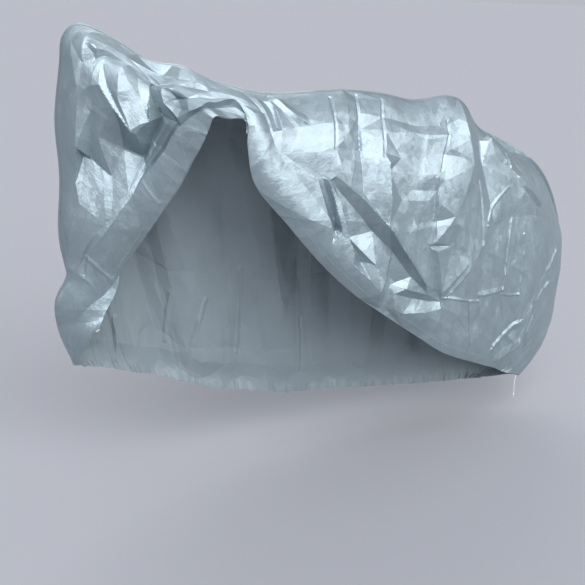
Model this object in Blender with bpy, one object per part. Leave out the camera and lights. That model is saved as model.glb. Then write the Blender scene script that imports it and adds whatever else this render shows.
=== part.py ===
"""A bicycle cover of thin silver film, in the shape in which it hangs over a bicycle.

Two side panels meet at one centre seam. The seam climbs from the front hem to the peak over
the far end of the handlebar, follows the ridge to the saddle, and falls round the rear to the
rear hem. The near panel is pulled up in front, so that its hem leaves a tall opening. A knotted
drawcord end hangs at the rear. Run it with blender --background --python part.py.

Units are metres. +X points to the rear, +Y to the far side and +Z up. The tables give heights
above the ground. The finished parts have their origin under the top of the saddle.
"""
import bmesh
import bpy
import numpy as np

# ---------------------------------------------------------------- driving dimensions
FILM = 0.0016            # thickness of the film
HEM = 0.0030             # thickness of the hem, where the film is doubled round the drawcord
SEAM_GAP = 0.0006        # between the two panels along the seam
CORD = 0.0020            # diameter of the drawcord
CORD_GAP = 0.0003        # between the drawcord and the hem that it comes out of
CORD_EXIT_DROP = 0.50    # where the cord leaves the rear hem, as a share of the way from the seam
CORD_POINTS = 15         # points along the drawcord, a little over two diameters apart
KNOT_POINTS = 3          # how many of the last points lie in the knot
KNOT_SWELL = 2.4         # how much wider than the cord its knot is
MOUNT = (0.330, -0.100, 0.955)    # where the saddle carries the top, above the ground
COLUMNS = 80             # steps of the grid from the front hem to the rear hem
NEAR_ROWS = 22           # steps from the seam down to the near hem
FAR_ROWS = 14            # steps from the seam down to the far hem
SHOULDER_DROP = 0.12     # how far down a rib its shoulder lies, as a part of its length
BELLY_RISE = 0.35        # how far up a rib its belly lies, as a part of its length

# ---------------------------------------------------------------- tables
# The centre seam, a row for each station, from the front hem to the rear hem.
SEAM = {
    # station          x       y      z
    "front_hem":     (-0.545, 0.110, 0.375),
    "front_toe":     (-0.577, 0.105, 0.460),
    "front_bulge":   (-0.584, 0.100, 0.535),
    "front_notch":   (-0.556, 0.100, 0.590),
    "front_tuck":    (-0.552, 0.100, 0.640),
    "front_knee":    (-0.565, 0.100, 0.715),
    "front_middle":  (-0.560, 0.100, 0.810),
    "front_chest":   (-0.564, 0.100, 0.920),
    "front_neck":    (-0.550, 0.098, 1.030),
    "peak_front":    (-0.542, 0.095, 1.080),
    "peak":          (-0.513, 0.088, 1.105),
    "peak_rear":     (-0.462, 0.070, 1.087),
    "pinch":         (-0.390, 0.030, 1.039),
    "stem":          (-0.331, 0.000, 1.029),
    "opening":       (-0.279, -0.020, 1.004),
    "dip":           (-0.180, -0.050, 0.978),
    "ridge_1":       (-0.103, -0.060, 0.975),
    "ridge_2":       (-0.013, -0.070, 0.979),
    "ridge_3":       (0.060, -0.080, 0.976),
    "ridge_4":       (0.138, -0.090, 0.967),
    "saddle_nose":   (0.224, -0.095, 0.951),
    "saddle":        (0.328, -0.100, 0.957),
    "saddle_rear":   (0.389, -0.100, 0.936),
    "saddle_drop":   (0.452, -0.095, 0.876),
    "rack":          (0.553, -0.085, 0.836),
    "tail_1":        (0.640, -0.083, 0.800),
    "tail_2":        (0.735, -0.080, 0.742),
    "tail_3":        (0.825, -0.070, 0.644),
    "tail_4":        (0.893, -0.060, 0.507),
    "tail_5":        (0.912, -0.050, 0.350),
    "tail_6":        (0.895, -0.047, 0.200),
    "rear_hem":      (0.778, -0.060, 0.104),
}

# Each side's hem at the same stations, the direction that the side faces (degrees from square
# across the bicycle towards the front), and how far the cloth stands out at shoulder and belly.
NEAR = {
    # station          x       y      z      face  shoulder  belly
    "front_hem":     (-0.524, 0.034, 0.478, 37.0, 0.004, 0.004),
    "front_toe":     (-0.512, 0.036, 0.494, 37.0, 0.010, 0.008),
    "front_bulge":   (-0.488, 0.040, 0.524, 37.0, 0.015, 0.012),
    "front_notch":   (-0.460, 0.045, 0.565, 37.0, 0.020, 0.015),
    "front_tuck":    (-0.447, 0.045, 0.603, 37.0, 0.025, 0.015),
    "front_knee":    (-0.412, 0.020, 0.668, 37.0, 0.030, 0.020),
    "front_middle":  (-0.380, -0.020, 0.742, 37.0, 0.035, 0.020),
    "front_chest":   (-0.360, -0.045, 0.790, 37.0, 0.045, 0.020),
    "front_neck":    (-0.345, -0.070, 0.845, 37.0, 0.055, 0.020),
    "peak_front":    (-0.340, -0.085, 0.868, 37.0, 0.060, 0.020),
    "peak":          (-0.335, -0.095, 0.888, 37.0, 0.060, 0.020),
    "peak_rear":     (-0.330, -0.108, 0.915, 37.0, 0.050, 0.020),
    "pinch":         (-0.323, -0.120, 0.943, 34.0, 0.040, 0.020),
    "stem":          (-0.290, -0.120, 0.938, 25.0, 0.040, 0.020),
    "opening":       (-0.250, -0.120, 0.931, 15.0, 0.040, 0.020),
    "dip":           (-0.252, -0.130, 0.880, 10.0, 0.045, 0.030),
    "ridge_1":       (-0.235, -0.137, 0.800, 5.0, 0.060, 0.040),
    "ridge_2":       (-0.160, -0.147, 0.712, 0.0, 0.080, 0.050),
    "ridge_3":       (-0.070, -0.155, 0.613, 0.0, 0.090, 0.060),
    "ridge_4":       (0.020, -0.165, 0.530, 0.0, 0.090, 0.060),
    "saddle_nose":   (0.112, -0.170, 0.464, 0.0, 0.090, 0.060),
    "saddle":        (0.240, -0.170, 0.376, 0.0, 0.100, 0.060),
    "saddle_rear":   (0.323, -0.165, 0.321, 0.0, 0.090, 0.060),
    "saddle_drop":   (0.410, -0.156, 0.278, 0.0, 0.080, 0.060),
    "rack":          (0.480, -0.144, 0.246, -5.0, 0.070, 0.060),
    "tail_1":        (0.545, -0.130, 0.216, -10.0, 0.065, 0.060),
    "tail_2":        (0.595, -0.116, 0.193, -15.0, 0.060, 0.060),
    "tail_3":        (0.630, -0.106, 0.175, -20.0, 0.055, 0.058),
    "tail_4":        (0.652, -0.100, 0.163, -28.0, 0.048, 0.055),
    "tail_5":        (0.667, -0.097, 0.156, -36.0, 0.040, 0.045),
    "tail_6":        (0.680, -0.094, 0.150, -44.0, 0.032, 0.028),
    "rear_hem":      (0.690, -0.091, 0.146, -50.0, 0.022, 0.012),
}
FAR = {
    # station          x       y      z      face  shoulder  belly
    "front_hem":     (-0.505, 0.160, 0.345, 30.0, 0.004, 0.004),
    "front_toe":     (-0.497, 0.163, 0.341, 30.0, 0.015, 0.010),
    "front_bulge":   (-0.487, 0.166, 0.337, 30.0, 0.030, 0.020),
    "front_notch":   (-0.475, 0.168, 0.333, 30.0, 0.035, 0.025),
    "front_tuck":    (-0.462, 0.170, 0.328, 30.0, 0.040, 0.030),
    "front_knee":    (-0.443, 0.172, 0.321, 28.0, 0.045, 0.030),
    "front_middle":  (-0.415, 0.173, 0.310, 26.0, 0.050, 0.030),
    "front_chest":   (-0.385, 0.174, 0.299, 24.0, 0.055, 0.030),
    "front_neck":    (-0.352, 0.174, 0.286, 20.0, 0.055, 0.030),
    "peak_front":    (-0.328, 0.174, 0.275, 16.0, 0.060, 0.030),
    "peak":          (-0.300, 0.173, 0.262, 12.0, 0.065, 0.030),
    "peak_rear":     (-0.265, 0.172, 0.247, 8.0, 0.070, 0.030),
    "pinch":         (-0.220, 0.171, 0.226, 4.0, 0.080, 0.030),
    "stem":          (-0.165, 0.170, 0.203, 0.0, 0.090, 0.030),
    "opening":       (-0.110, 0.168, 0.184, 0.0, 0.100, 0.030),
    "dip":           (-0.045, 0.165, 0.165, 0.0, 0.100, 0.030),
    "ridge_1":       (0.020, 0.160, 0.150, 0.0, 0.100, 0.030),
    "ridge_2":       (0.085, 0.155, 0.138, 0.0, 0.100, 0.030),
    "ridge_3":       (0.150, 0.148, 0.126, 0.0, 0.100, 0.035),
    "ridge_4":       (0.215, 0.140, 0.116, 0.0, 0.100, 0.040),
    "saddle_nose":   (0.280, 0.130, 0.108, 0.0, 0.100, 0.045),
    "saddle":        (0.350, 0.118, 0.101, 0.0, 0.110, 0.050),
    "saddle_rear":   (0.415, 0.105, 0.095, 0.0, 0.100, 0.055),
    "saddle_drop":   (0.475, 0.090, 0.090, 0.0, 0.090, 0.060),
    "rack":          (0.515, 0.078, 0.087, -5.0, 0.080, 0.060),
    "tail_1":        (0.560, 0.064, 0.086, -10.0, 0.075, 0.060),
    "tail_2":        (0.600, 0.052, 0.085, -15.0, 0.070, 0.060),
    "tail_3":        (0.632, 0.042, 0.085, -20.0, 0.065, 0.058),
    "tail_4":        (0.655, 0.032, 0.085, -28.0, 0.055, 0.052),
    "tail_5":        (0.670, 0.024, 0.086, -36.0, 0.045, 0.045),
    "tail_6":        (0.682, 0.018, 0.087, -44.0, 0.034, 0.028),
    "rear_hem":      (0.692, 0.012, 0.088, -50.0, 0.022, 0.012),
}

# Folds, a row for each. A fold's line runs through three places, each a station number along the
# seam and a share of the way down the panel. Its half width is the same all along, and its height
# above the cloth changes evenly from one end to the other. A negative height is a valley.
NEAR_FOLDS = {
    # fold                from         via          to           half   from    to
    #                     place        place        place        width  height  height
    "edge_under_peak":    (8.6, 0.14, 6.4, 0.30, 4.8, 0.40, 0.022, 0.012, 0.010),
    "valley_under_peak":  (9.0, 0.20, 7.8, 0.30, 7.0, 0.42, 0.030, -0.012, -0.026),
    "pinch_left_ridge":   (9.7, 0.34, 8.6, 0.47, 7.6, 0.62, 0.022, 0.010, 0.024),
    "pinch_valley":       (11.5, 0.50, 10.0, 0.52, 8.6, 0.56, 0.022, -0.014, -0.004),
    "pinch_fold":         (11.4, 0.54, 9.6, 0.58, 7.8, 0.66, 0.015, 0.014, 0.016),
    "chest_valley":       (11.9, 0.52, 10.1, 0.74, 7.6, 0.76, 0.024, -0.012, -0.022),
    "flap_shelf":         (7.4, 0.52, 6.2, 0.56, 5.4, 0.56, 0.040, 0.010, 0.016),
    "flap_band_crease":   (8.6, 0.84, 6.7, 0.73, 4.6, 0.46, 0.014, -0.010, -0.006),
    "flap_band":          (9.5, 0.94, 7.0, 0.90, 4.6, 0.80, 0.030, 0.010, 0.008),
    "brow_ridge":         (9.9, 0.82, 12.0, 0.84, 14.1, 0.62, 0.013, 0.012, 0.014),
    "brow_pocket":        (12.8, 0.86, 13.6, 0.80, 14.6, 0.72, 0.016, -0.014, -0.010),
    "fan_valley":         (14.9, 0.22, 15.3, 0.42, 15.8, 0.62, 0.018, -0.010, -0.012),
    "fan_ridge":          (15.4, 0.28, 15.9, 0.42, 16.4, 0.56, 0.018, 0.008, 0.012),
    "shoulder_crease":    (17.0, 0.10, 17.1, 0.25, 17.2, 0.46, 0.020, 0.008, 0.010),
    "grip_crease":        (18.8, 0.08, 18.9, 0.30, 19.2, 0.60, 0.022, 0.008, 0.010),
    "long_valley":        (17.5, 0.60, 18.9, 0.75, 20.8, 0.84, 0.028, -0.018, -0.022),
    "long_ridge":         (17.9, 0.52, 19.7, 0.68, 21.0, 0.80, 0.024, 0.010, 0.014),
    "draw_fold_1":        (19.9, 0.95, 19.5, 0.86, 19.0, 0.78, 0.017, 0.010, 0.012),
    "draw_fold_2":        (19.6, 0.93, 18.6, 0.84, 17.9, 0.74, 0.017, 0.008, 0.010),
    "draw_fold_3":        (18.9, 0.90, 17.8, 0.80, 17.0, 0.66, 0.017, 0.006, 0.010),
    "hem_roll_valley":    (16.2, 0.80, 17.8, 0.88, 19.6, 0.95, 0.016, -0.010, -0.012),
    "saddle_crease":      (20.8, 0.17, 20.6, 0.34, 20.5, 0.52, 0.022, 0.008, 0.008),
    "mid_ridge":          (20.5, 0.60, 20.8, 0.70, 21.2, 0.79, 0.020, 0.008, 0.014),
    "saddle_drop_valley": (21.7, 0.12, 22.1, 0.30, 22.6, 0.52, 0.034, -0.018, -0.010),
    "tail_long_ridge":    (23.6, 0.28, 22.9, 0.54, 22.0, 0.74, 0.022, 0.008, 0.014),
    "low_shelf":          (20.6, 0.86, 22.0, 0.83, 23.6, 0.75, 0.022, -0.010, -0.006),
    "tail_crease_1":      (24.1, 0.40, 24.3, 0.55, 24.5, 0.70, 0.020, 0.008, 0.008),
    "tail_crease_2":      (25.1, 0.40, 25.3, 0.52, 25.5, 0.66, 0.020, 0.008, 0.008),
    "tail_top_ridge":     (23.4, 0.12, 24.8, 0.17, 26.2, 0.20, 0.020, 0.008, 0.012),
    "tail_low_ridge":     (24.9, 0.84, 25.6, 0.72, 26.6, 0.60, 0.022, 0.010, 0.008),
}
FAR_FOLDS = {
    # fold                from         via          to           half   from    to
    #                     place        place        place        width  height  height
    "peak_fold_1":        (8.4, 0.14, 6.4, 0.40, 5.0, 0.75, 0.030, -0.006, -0.010),
    "peak_fold_2":        (9.2, 0.16, 8.6, 0.50, 8.0, 0.95, 0.034, -0.014, -0.012),
    "peak_fold_3":        (10.2, 0.16, 10.6, 0.50, 10.6, 0.97, 0.034, 0.012, 0.014),
    "peak_fold_4":        (11.0, 0.18, 12.4, 0.55, 13.0, 0.90, 0.034, -0.014, -0.012),
    "hang_fold_1":        (14.0, 0.30, 14.8, 0.65, 14.7, 0.96, 0.034, 0.010, 0.014),
    "hang_fold_2":        (15.8, 0.35, 16.4, 0.70, 17.0, 0.97, 0.036, -0.014, -0.014),
    "hang_fold_3":        (18.2, 0.25, 18.6, 0.60, 19.0, 0.96, 0.034, 0.010, 0.012),
    "saddle_fold_1":      (20.6, 0.16, 20.4, 0.50, 20.6, 0.88, 0.030, -0.012, -0.010),
    "saddle_fold_2":      (22.2, 0.14, 22.4, 0.50, 22.2, 0.85, 0.032, -0.016, -0.010),
    "tail_fold_1":        (24.2, 0.20, 23.8, 0.50, 23.4, 0.85, 0.026, 0.010, 0.010),
    "tail_fold_2":        (25.8, 0.25, 25.4, 0.50, 25.0, 0.80, 0.024, -0.010, -0.008),
    "tail_fold_3":        (27.4, 0.30, 27.0, 0.50, 26.6, 0.75, 0.022, 0.008, 0.006),
}
FOLD_STEPS = 12          # straight steps that follow a fold's line

# The drawcord's route, from where it leaves the hem: straight out, then down under its own weight.
CORD_ROUTE = {
    "turn":          (-0.0045, -0.0010, -0.0050),
    "bend":          (-0.0070, -0.0020, -0.0130),
    "middle":        (-0.0085, -0.0030, -0.0260),
    "low":           (-0.0075, -0.0030, -0.0420),
    "knot":          (-0.0045, -0.0020, -0.0560),
    "end":           (-0.0035, -0.0015, -0.0620),
}


# ---------------------------------------------------------------- the draped surface
def smooth(table, where):
    """Read a table at station numbers that need not be whole, along one smooth curve."""
    rows = np.array(list(table.values()))
    before = np.clip(np.floor(where).astype(int), 0, len(rows) - 2)
    part = (where - before)[..., None]
    row = [rows[np.clip(before + step, 0, len(rows) - 1)] for step in (-1, 0, 1, 2)]
    slope_in = (row[2] - row[0]) / 2
    slope_out = (row[3] - row[1]) / 2
    rise = row[2] - row[1]
    curve = slope_in * part + (3 * rise - 2 * slope_in - slope_out) * part**2
    return row[1] + curve + (slope_in + slope_out - 2 * rise) * part**3


def draped(side, table, station, drop):
    """Points of one side, without its folds: side is -1 for the near one and +1 for the far one."""
    seam = smooth(SEAM, station)
    row = smooth(table, station)
    hem = row[..., 0:3]
    face = np.radians(row[..., 3])
    out = np.stack([-np.sin(face), side * np.cos(face), np.zeros_like(face)], axis=-1)
    shoulder = seam + out * row[..., 4:5] + (hem - seam) * SHOULDER_DROP
    belly = hem + out * row[..., 5:6] + (seam - hem) * BELLY_RISE
    t = drop[..., None]
    return (seam * (1 - t)**3 + 3 * shoulder * t * (1 - t)**2
            + 3 * belly * t**2 * (1 - t) + hem * t**3)


def station_steps():
    """Station numbers of the grid's columns, spaced evenly along seam and hems."""
    fine = np.linspace(0, len(SEAM) - 1, 40 * (len(SEAM) - 1) + 1)
    run = np.zeros(len(fine))
    for line in (smooth(SEAM, fine), smooth(NEAR, fine)[:, 0:3], smooth(FAR, fine)[:, 0:3]):
        run[1:] += np.cumsum(np.linalg.norm(np.diff(line, axis=0), axis=1))
    return np.interp(np.linspace(0, run[-1], COLUMNS + 1), run, fine)


def fold_line(side, table, fold):
    """The places that a fold's line runs through: a smooth bend on the surface."""
    ends = np.array(fold[:6]).reshape(3, 2)
    share = np.linspace(0, 1, FOLD_STEPS + 1)[:, None]
    via = 2 * ends[1] - (ends[0] + ends[2]) / 2
    places = ends[0] * (1 - share)**2 + 2 * via * share * (1 - share) + ends[2] * share**2
    return draped(side, table, places[:, 0], places[:, 1])


def relief(side, table, folds, points):
    """Height of the folds at each point of a side: a soft ridge or valley along each line."""
    height = np.zeros(points.shape[:-1])
    for fold in folds.values():
        half_width, from_height, to_height = fold[6:]
        line = fold_line(side, table, fold)
        step = np.diff(line, axis=0)
        offset = points[..., None, :] - line[:-1]
        along = np.clip((offset * step).sum(-1) / (step * step).sum(-1), 0, 1)
        away = np.linalg.norm(offset - along[..., None] * step, axis=-1)
        nearest = away.argmin(axis=-1)[..., None]
        share = (nearest + np.take_along_axis(along, nearest, -1))[..., 0] / FOLD_STEPS
        ridge = from_height + (to_height - from_height) * share
        height += ridge * np.exp(-(away.min(axis=-1) / half_width)**2)
    return height


def surface_normals(grid):
    """Outward directions of a grid of points, from its neighbours along and across."""
    along = np.gradient(grid, axis=1)
    across = np.gradient(grid, axis=0)
    normal = np.cross(across, along)
    return normal / np.linalg.norm(normal, axis=-1, keepdims=True)


def cover_grid():
    """The whole cover as one grid of rows, far hem to seam to near hem, and its outward normals."""
    stations = station_steps()
    near_drops = np.linspace(0, 1, NEAR_ROWS + 1)
    far_drops = np.linspace(0, 1, FAR_ROWS + 1)
    near_station, near_drop = np.meshgrid(stations, near_drops)
    far_station, far_drop = np.meshgrid(stations, far_drops)
    near = draped(-1, NEAR, near_station, near_drop)
    far = draped(1, FAR, far_station, far_drop)
    grid = np.concatenate([far[:0:-1], near])
    folds = np.concatenate([relief(1, FAR, FAR_FOLDS, far)[:0:-1], relief(-1, NEAR, NEAR_FOLDS, near)])
    grid = grid + surface_normals(grid) * folds[..., None]
    return grid, surface_normals(grid)


# ---------------------------------------------------------------- solids
def material(name, colour, metallic, roughness):
    """A plain Principled material."""
    made = bpy.data.materials.new(name)
    made.use_nodes = True
    shader = made.node_tree.nodes["Principled BSDF"]
    shader.inputs["Base Color"].default_value = (*colour, 1.0)
    shader.inputs["Metallic"].default_value = metallic
    shader.inputs["Roughness"].default_value = roughness
    return made


def collection(name):
    """A collection of the scene that holds the parts."""
    made = bpy.data.collections.new(name)
    bpy.context.scene.collection.children.link(made)
    return made


def panel(name, outer, normals, hem_row, film, parts):
    """A closed sheet: the outer grid, an inner grid its thickness further in, and four edges."""
    thickness = np.full(outer.shape[:2], FILM)
    thickness[hem_row] = HEM
    thickness[:, [0, -1]] = HEM
    inner = outer - normals * thickness[..., None]
    rows, columns = outer.shape[:2]
    mesh = bmesh.new()
    faces = []
    layers = [[[mesh.verts.new(point) for point in row] for row in grid] for grid in (outer, inner)]
    top, bottom = layers
    for i in range(rows - 1):
        for j in range(columns - 1):
            for layer in layers:
                faces.append((layer[i][j], layer[i + 1][j], layer[i + 1][j + 1], layer[i][j + 1]))
    rim = [(0, j) for j in range(columns)]
    rim += [(i, columns - 1) for i in range(1, rows)]
    rim += [(rows - 1, j) for j in range(columns - 2, -1, -1)]
    rim += [(i, 0) for i in range(rows - 2, 0, -1)]
    for (i, j), (k, m) in zip(rim, rim[1:] + rim[:1]):
        faces.append((top[i][j], top[k][m], bottom[k][m], bottom[i][j]))
    for corners in faces:
        mesh.faces.new(corners)
    bmesh.ops.recalc_face_normals(mesh, faces=mesh.faces)
    data = bpy.data.meshes.new(name)
    mesh.to_mesh(data)
    mesh.free()
    data.shade_smooth()
    data.materials.append(film)
    made = bpy.data.objects.new(name, data)
    parts.objects.link(made)
    return made


def seam_edge(grid, normals, side):
    """The seam's row, moved half of the seam's gap to one side."""
    row = FAR_ROWS
    along = np.gradient(grid[row], axis=0)
    across = np.cross(normals[row], along)
    across /= np.linalg.norm(across, axis=-1, keepdims=True)
    toward_near = np.sign((across * (grid[row + 1] - grid[row - 1])).sum(-1, keepdims=True))
    return grid[row] - side * toward_near * across * SEAM_GAP / 2


def build_panels(film, parts):
    """The two side panels, which share the seam's row of the grid but for the seam's gap."""
    grid, normals = cover_grid()
    grid = grid - np.array(MOUNT)
    spans = {"near_panel": (-1, slice(FAR_ROWS, None)), "far_panel": (1, slice(0, FAR_ROWS + 1))}
    for name, (side, span) in spans.items():
        outer = grid[span].copy()
        seam_row, hem_row = (0, -1) if side < 0 else (-1, 0)
        outer[seam_row] = seam_edge(grid, normals, side)
        panel(name, outer, normals[span], hem_row, film, parts)
    return grid


def drawcord(grid, cord, parts):
    """The knotted end of the drawcord, which hangs from the hem under the tail."""
    outer = grid[FAR_ROWS:, -1]
    rim_in = -surface_normals(grid)[FAR_ROWS:, -1]
    along = grid[FAR_ROWS:, -1] - grid[FAR_ROWS:, -2]
    row = round(CORD_EXIT_DROP * NEAR_ROWS)
    out = np.cross(rim_in[row], outer[row + 1] - outer[row - 1])
    out *= np.sign((out * along[row]).sum()) / np.linalg.norm(out)
    exit_point = outer[row] + rim_in[row] * HEM / 2 + out * CORD_GAP
    route = {"exit": exit_point, "lead": exit_point + out * CORD * 2}
    route.update({name: exit_point + out * CORD + np.array(place) for name, place in CORD_ROUTE.items()})
    points = smooth(route, np.linspace(0, len(route) - 1, CORD_POINTS))
    curve = bpy.data.curves.new("drawcord", "CURVE")
    curve.dimensions = "3D"
    curve.bevel_depth = CORD / 2
    curve.bevel_resolution = 2
    curve.use_fill_caps = True
    spline = curve.splines.new("POLY")
    spline.points.add(CORD_POINTS - 1)
    for number, (place, point) in enumerate(zip(spline.points, points)):
        place.co = (*point, 1.0)
        if number >= CORD_POINTS - KNOT_POINTS:
            place.radius = KNOT_SWELL
    curve.materials.append(cord)
    parts.objects.link(bpy.data.objects.new("drawcord", curve))


def main():
    """Build every part of the cover."""
    for item in list(bpy.data.objects):
        bpy.data.objects.remove(item, do_unlink=True)
    parts = collection("bicycle_cover")
    film = material("silver_film", (0.52, 0.58, 0.61), 0.55, 0.38)
    cord = material("white_cord", (0.72, 0.73, 0.72), 0.0, 0.8)
    grid = build_panels(film, parts)
    drawcord(grid, cord, parts)


main()
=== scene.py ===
# %% [markdown]
# # A fitted cover of crinkled silver film
#
# A cover like this is two side panels of thin metallised film, sewn together along one seam that
# runs over the top from the front hem to the rear hem. Here it hangs as in use, with its near side
# pulled up in front. The shape comes from short tables of the seam, the hems, the folds and the
# creases, and the look comes from many small facets in a soft, shiny film.
#
# The imported model is loaded first. It fixes where everything is.

import math

import bmesh
import bpy
import numpy as np
from mathutils import Matrix, Vector
from mathutils.geometry import delaunay_2d_cdt


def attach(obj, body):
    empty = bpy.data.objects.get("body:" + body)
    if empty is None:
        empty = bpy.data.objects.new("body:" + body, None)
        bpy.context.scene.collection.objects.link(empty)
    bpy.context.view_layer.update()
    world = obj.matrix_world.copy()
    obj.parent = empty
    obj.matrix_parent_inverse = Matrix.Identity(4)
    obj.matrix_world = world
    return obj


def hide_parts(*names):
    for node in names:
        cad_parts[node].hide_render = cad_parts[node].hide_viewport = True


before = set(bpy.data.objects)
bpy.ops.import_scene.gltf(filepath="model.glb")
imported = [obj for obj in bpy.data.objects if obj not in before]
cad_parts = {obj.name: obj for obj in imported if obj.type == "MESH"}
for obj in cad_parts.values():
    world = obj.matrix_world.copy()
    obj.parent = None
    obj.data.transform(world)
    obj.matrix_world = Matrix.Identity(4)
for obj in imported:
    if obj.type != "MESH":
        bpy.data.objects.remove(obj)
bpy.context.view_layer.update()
print("nodes:", sorted(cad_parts))

# %% [markdown]
# ## The camera
#
# The camera stands in front of the cover and to its near side, a little higher than its peak, and is
# tipped by two degrees. Its lens, place and turn were worked out once, at the cover's real size,
# and are kept as plain numbers, because a camera that is set by eye never meets its outline.

# %% Place the camera
CAMERA_PLACE = (-1.5254, -1.5017, 0.2291)
CAMERA_AZIMUTH = -35.997      # degrees, 0 looks along +Y
CAMERA_ELEVATION = 19.294     # degrees below level
CAMERA_ROLL = 2.227
CAMERA_LENS = 53.31           # millimetres, on a sensor 36 mm wide
CAMERA_REACH = 200            # metres that the camera sees


def placed(name, data):
    """A new object in the scene that holds the data."""
    made = bpy.data.objects.new(name, data)
    bpy.context.scene.collection.objects.link(made)
    return made


def turned_camera(place, azimuth, elevation, roll, lens):
    """A camera at a place, turned by three angles in degrees."""
    data = bpy.data.cameras.new("camera")
    data.lens = lens
    data.clip_end = CAMERA_REACH
    made = placed("camera", data)
    turn = Matrix.Rotation(math.radians(azimuth), 4, "Z")
    turn @= Matrix.Rotation(math.radians(90 - elevation), 4, "X")
    turn @= Matrix.Rotation(math.radians(roll), 4, "Z")
    made.matrix_world = Matrix.Translation(place) @ turn
    return made


camera = turned_camera(CAMERA_PLACE, CAMERA_AZIMUTH, CAMERA_ELEVATION, CAMERA_ROLL, CAMERA_LENS)
bpy.context.scene.camera = camera
print("camera at", tuple(round(x, 3) for x in camera.matrix_world.translation))

# %% [markdown]
# ## The studio
#
# Shiny film shows whatever is around it, so the light matters as much as the material. Small lamps
# would leave hard glints, so three wide and soft lights are used: one above the camera for the
# bright panes, a low one beside the tail for the creases of the rear, and one for the back. The
# pale room is reflected everywhere else, light in front and dim behind. The floor is plain too.

# %% Helpers for nodes
def new_material(name):
    """A material with nodes, its tree and its Principled shader."""
    made = bpy.data.materials.new(name)
    made.use_nodes = True
    return made, made.node_tree, made.node_tree.nodes["Principled BSDF"]


def linked(tree, kind, **inputs):
    """A new node, its inputs set to values or joined to outputs; _0 is its first input."""
    made = tree.nodes.new(kind)
    for name, value in inputs.items():
        numbered = name[1:].isdigit()
        socket = made.inputs[int(name[1:]) if numbered else name.replace("_", " ")]
        if isinstance(value, bpy.types.NodeSocket):
            tree.links.new(value, socket)
        else:
            socket.default_value = value
    return made


# %% Floor and surroundings
FLOOR_HEIGHT = -0.955         # the ground, below the row's origin
FLOOR_REACH = 400.0           # so wide that its edge lies on the horizon
PALE = (0.295, 0.302, 0.325)
HORIZON = (0.479, 0.491, 0.539)
LIT_SIDE = (-0.45, -0.60, 0.66)    # towards the light side of the room
LIT_ROOM = 2.2                # how light the room is there, as a share of the horizon
DIM_ROOM = 0.12               # and on the side away from it
LIT_SPREAD = (-0.4, 0.9)      # how squarely a way faces the light side, to get none and all of it
LIT_RISE = (0.10, 0.40)       # how far above the horizon the room's own light starts and is full


def pale_floor(colour):
    """A plain matt floor that runs to the horizon."""
    bpy.ops.mesh.primitive_circle_add(vertices=64, radius=FLOOR_REACH, fill_type="NGON",
                                      location=(0, 0, FLOOR_HEIGHT))
    made = bpy.context.object
    made.name = "floor"
    paint, _, shader = new_material("floor_paint")
    shader.inputs["Base Color"].default_value = (*colour, 1)
    shader.inputs["Roughness"].default_value = 1.0
    shader.inputs["Specular IOR Level"].default_value = 0.0
    made.data.materials.append(paint)
    return made


def pale_room(horizon):
    """Surroundings as light as the floor at the horizon; above, light in front and dim behind."""
    room = bpy.data.worlds.new("pale_room")
    room.use_nodes = True
    tree = room.node_tree
    way = tree.nodes.new("ShaderNodeTexCoord").outputs["Generated"]
    up = linked(tree, "ShaderNodeSeparateXYZ", _0=way).outputs["Z"]
    toward = linked(tree, "ShaderNodeVectorMath", _0=way, _1=LIT_SIDE)
    toward.operation = "DOT_PRODUCT"
    above = linked(tree, "ShaderNodeMapRange", Value=toward.outputs["Value"], From_Min=LIT_SPREAD[0],
                   From_Max=LIT_SPREAD[1], To_Min=DIM_ROOM, To_Max=LIT_ROOM)
    rise = linked(tree, "ShaderNodeMapRange", Value=up, From_Min=LIT_RISE[0], From_Max=LIT_RISE[1],
                  To_Min=1.0, To_Max=above.outputs["Result"])
    rise.interpolation_type = "SMOOTHSTEP"
    tree.links.new(rise.outputs["Result"], tree.nodes["Background"].inputs["Strength"])
    tree.nodes["Background"].inputs["Color"].default_value = (*horizon, 1)
    return room


floor = pale_floor(PALE)
bpy.context.scene.world = pale_room(HORIZON)
bpy.context.scene.view_settings.view_transform = "Standard"
print("floor:", FLOOR_HEIGHT, "m, room:", bpy.context.scene.world.name)

# %% Lights
LIGHT_SPREAD = 50             # degrees wide, as seen from the cover
LIGHTS = {
    # light        degrees round from the row's +X, degrees up, strength
    "key_light": (-118, 46, 2.4),
    "side_light": (-66, 18, 1.9),
    "back_light": (70, 38, 1.3),
}

for name, (azimuth, height, strength) in LIGHTS.items():
    lamp = bpy.data.lights.new(name, "SUN")
    lamp.energy = strength
    lamp.angle = math.radians(LIGHT_SPREAD)
    placed(name, lamp).rotation_euler = (math.radians(90 - height), 0, math.radians(azimuth + 90))

# %% [markdown]
# ## The drawcord
#
# A thin white cord runs inside the hem, and its knotted end hangs out under the tail. It is a limp
# cord that leaves the hem, turns down under its own weight and ends in a small knot with two loose
# tails. A simulated cord would hang straight, so its line is a short list of points that follows
# the real one, and the knot is a trefoil line, which a formula gives.

# %% Cord material
BRAID_BUMP = 0.0003           # depth of the weave


def two_tones(tree, shader, share, dark, pale):
    """A base colour between a dark and a pale tone, as a pattern's output says."""
    tone = tree.nodes.new("ShaderNodeMix")
    tone.data_type = "RGBA"
    tone.inputs["A"].default_value = (*dark, 1)
    tone.inputs["B"].default_value = (*pale, 1)
    tree.links.new(share, tone.inputs["Factor"])
    tree.links.new(tone.outputs["Result"], shader.inputs["Base Color"])


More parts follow.
